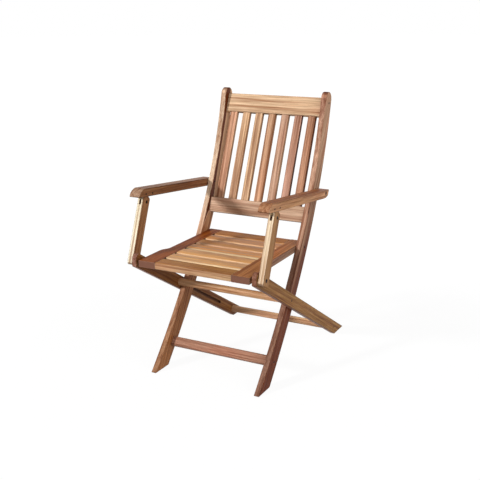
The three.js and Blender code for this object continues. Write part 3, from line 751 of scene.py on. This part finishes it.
# Each slat's faces and sides, from left to right and from front to back. They are partly the wood's colour and partly
# painted light and shade: the dark sides of back slats 6 and 7 are painted shade, and the pale sides of the seat
# slats, their fronts and backs, are painted highlight.
BACK_SLAT_STAINS_AND_SHADES = [
    ("f9c2a1", "efc59f"),
    ("fcd2ac", "d09d74"),
    ("fcd4ac", "c59a73"),
    ("f0c39e", "dca878"),
    ("e2ba9f", "d0a984"),
    ("e5b39d", "602712"),
    ("d29e7e", "985224"),
]
SEAT_SLAT_STAINS_AND_SHADES = [
    ("fcb964", "fce1b0"),
    ("f6b15d", "f7cc9a"),
    ("f09f3b", "fce6a8"),
    ("c8872e", "e7b687"),
    ("d98619", "f1c392"),
]

SLAT_THICKNESS = 14.3 * MM
BACK_SLAT_EASE = 2.2 * MM
SEAT_SLAT_LENGTH = 275.4 * MM
SEAT_SLAT_EASE = 4.5 * MM

back_slats = [f"back_slat_{k}" for k in range(1, 8)]
low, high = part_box("back_slat_4")
slat_length = ((high - low).z - SLAT_THICKNESS * PANEL_UP.y) / PANEL_UP.z
slat_row(
    "back_slats",
    "back_frame",
    "slat_wood",
    back_slats,
    BACK_SLAT_STAINS_AND_SHADES,
    (centre("back_slat_2") - centre("back_slat_1")).x,
    ((high - low).x, SLAT_THICKNESS, slat_length),
    BACK_SLAT_EASE,
    turned(ACROSS, PANEL_UP.cross(ACROSS), PANEL_UP),
    PANEL_UP,
)

seat_slats = [f"seat_slat_{k}" for k in range(1, 6)]
low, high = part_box("seat_slat_1")
slat_row(
    "seat_slats",
    "seat",
    "seat_wood",
    seat_slats,
    SEAT_SLAT_STAINS_AND_SHADES,
    (centre("seat_slat_2") - centre("seat_slat_1")).y,
    ((high - low).y, (high - low).z, SEAT_SLAT_LENGTH),
    SEAT_SLAT_EASE,
    turned(FRONT_TO_BACK, Vector((0, 0, 1)), ACROSS),
    ACROSS,
)


def pin_row_tree():
    """Round pins along X, one on each point of the mesh that the tree is given."""
    tree = Shaping("pin_row", {"Radius": FLOAT, "Length": FLOAT, "Sides": WHOLE, "Finish": WOOD})
    given = tree.given
    shank = tree.add(
        "GeometryNodeMeshCylinder",
        {"Vertices": given["Sides"], "Radius": given["Radius"], "Depth": given["Length"]},
    )
    laid = tree.add("GeometryNodeTransform", {"Geometry": shank.outputs["Mesh"], "Rotation": (0, math.pi / 2, 0)})
    row = tree.add("GeometryNodeInstanceOnPoints", {"Points": given["Geometry"], "Instance": laid.outputs[0]})
    tree.close(row.outputs[0], (0, 0, 0), (0, 0, 0), given["Finish"])
    return tree


pin_rows = pin_row_tree()
PIN_SIDES = 28
HEAD_ROUNDING = 0.3  # in radii of the pin


def pin_row(name, body, nodes):
    """Steel pins of one size in one mesh, with rounded heads, in place of their CAD nodes."""
    low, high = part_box(nodes[0])
    radius = (high - low).z / 2
    values = {"Radius": radius, "Length": (high - low).x, "Sides": PIN_SIDES, "Finish": FINISHES["pin_steel"]}
    piece = pin_rows.made(name, values, [centre(node) for node in nodes])
    bevel = piece.modifiers.new("ease", "BEVEL")
    bevel.width = radius * HEAD_ROUNDING
    bevel.segments = EASE_STEPS
    mesh = evaluated(piece)
    mesh.shade_smooth()
    keep_sharp(mesh)
    return finished(name, mesh, body, nodes)


PIN_ROWS = [
    ("back_nails", "back_frame", ["top_rail_nail", "front_stretcher_nail"]),
    ("slide_pins", "back_frame", ["slide_pin"]),
    ("leg_nails", "leg_frame", ["stop_bar_nail", "rear_stretcher_nail"]),
    ("rear_pivots", "seat", ["rear_pivot"]),
    ("front_pivots", "seat", ["front_pivot"]),
]
for name, body, kinds in PIN_ROWS:
    pin_row(name, body, [f"{kind}_{side}" for kind in kinds for side in ("left", "right")])
for side in ("left", "right"):
    pin_row(f"tongue_pins_{side}", f"arm_{side}", [f"tongue_pin_front_{side}", f"tongue_pin_rear_{side}"])
    pin_row(f"arm_pivot_pin_{side}", f"arm_{side}", [f"arm_pivot_{side}"])
    pin_row(f"fork_pin_steel_{side}", f"post_{side}", [f"fork_pin_{side}"])
    for node in (f"tongue_{side}", f"arm_spacer_{side}"):
        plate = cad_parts[node]
        plate.data.materials.clear()
        plate.data.materials.append(FINISHES["plate_brass"])

# ---------------------------------------------------------------- camera, lamps, floor


# The photo's camera, as fitted to the chair's edges
LENS = 62.025
CAMERA_PLACE = (1.2735, -2.4705, 1.2116)
CAMERA_AHEAD = Vector((-0.4478, 0.8507, -0.2754))
CAMERA_ROLL = math.radians(-0.32)


def add_camera():
    data = bpy.data.cameras.new("camera")
    data.sensor_width = 36
    data.lens = LENS
    camera = bpy.data.objects.new("camera", data)
    camera.location = CAMERA_PLACE
    camera.rotation_mode = "QUATERNION"
    camera.rotation_quaternion = CAMERA_AHEAD.to_track_quat("-Z", "Y") @ Quaternion((0, 0, 1), CAMERA_ROLL)
    bpy.context.scene.collection.objects.link(camera)
    bpy.context.scene.camera = camera


def add_lamp(name, towards, energy, softness):
    """A lamp far away, in the direction given, that lights everything alike. softness is its width in degrees."""
    data = bpy.data.lights.new(name, "SUN")
    data.energy = energy
    data.angle = math.radians(softness)
    lamp = bpy.data.objects.new(name, data)
    lamp.rotation_mode = "QUATERNION"
    lamp.rotation_quaternion = (-Vector(towards)).to_track_quat("-Z", "Y")
    bpy.context.scene.collection.objects.link(lamp)


def seen_directly(n):
    """1 where the camera sees the background, directly or in a gloss."""
    path = n.add("ShaderNodeLightPath").outputs
    shine = n.math("MAXIMUM", path["Is Glossy Ray"], path["Is Transmission Ray"])
    return n.math("MAXIMUM", path["Is Camera Ray"], shine)


FLOOR_RADIUS = 30
FLOOR_BOUNCE = 0.4  # how pale the floor is to the chair
FLOOR_SHADE = 0.95  # how pale it is to the camera, where it takes shadows
FLOOR_GLOW = 1.04
GLOW_SHARE = (0.9, 1.0)  # how far the glow takes the shadows' place, near the chair and away from it
GLOW_REACH = (0.8, 2.2)  # in metres from the middle


def add_floor():
    bm = bmesh.new()
    bmesh.ops.create_circle(bm, cap_ends=True, segments=64, radius=FLOOR_RADIUS)
    mesh = bpy.data.meshes.new("floor")
    bm.to_mesh(mesh)
    bm.free()
    floor = bpy.data.objects.new("floor", mesh)
    made, n = material("pale_floor")
    direct = seen_directly(n)
    shade = n.span(direct, 0.0, 1.0, FLOOR_BOUNCE, FLOOR_SHADE)
    tone = n.add("ShaderNodeCombineColor", {"Red": shade, "Green": shade, "Blue": shade})
    matt = n.add("ShaderNodeBsdfDiffuse", {"Color": tone.outputs[0]})
    away = n.add("ShaderNodeVectorMath", {0: n.add("ShaderNodeNewGeometry").outputs["Position"]}, operation="LENGTH")
    white = n.add("ShaderNodeEmission", {"Color": (1, 1, 1, 1), "Strength": FLOOR_GLOW})
    share = n.math("MULTIPLY", direct, n.span(away.outputs["Value"], *GLOW_REACH, *GLOW_SHARE))
    both = n.add("ShaderNodeMixShader", {0: share, 1: matt.outputs[0], 2: white.outputs[0]})
    n.surface(both.outputs[0])
    mesh.materials.append(made)
    bpy.context.scene.collection.objects.link(floor)


def add_world(ambient):
    world = bpy.data.worlds.new("studio")
    world.use_nodes = True
    n = Nodes(world.node_tree)
    strength = n.span(seen_directly(n), 0.0, 1.0, ambient, 1.0)
    sky = n.add("ShaderNodeBackground", {"Color": (1, 1, 1, 1), "Strength": strength})
    out = n.add("ShaderNodeOutputWorld")
    n.tree.links.new(sky.outputs[0], out.inputs["Surface"])
    bpy.context.scene.world = world


add_camera()
add_lamp("key", towards=(-0.50, -0.78, 0.36), energy=2.55, softness=7)
add_lamp("fill", towards=(0.85, -0.40, 0.35), energy=1.6, softness=60)
add_floor()
add_world(ambient=0.24)
bpy.context.scene.view_settings.view_transform = "Standard"
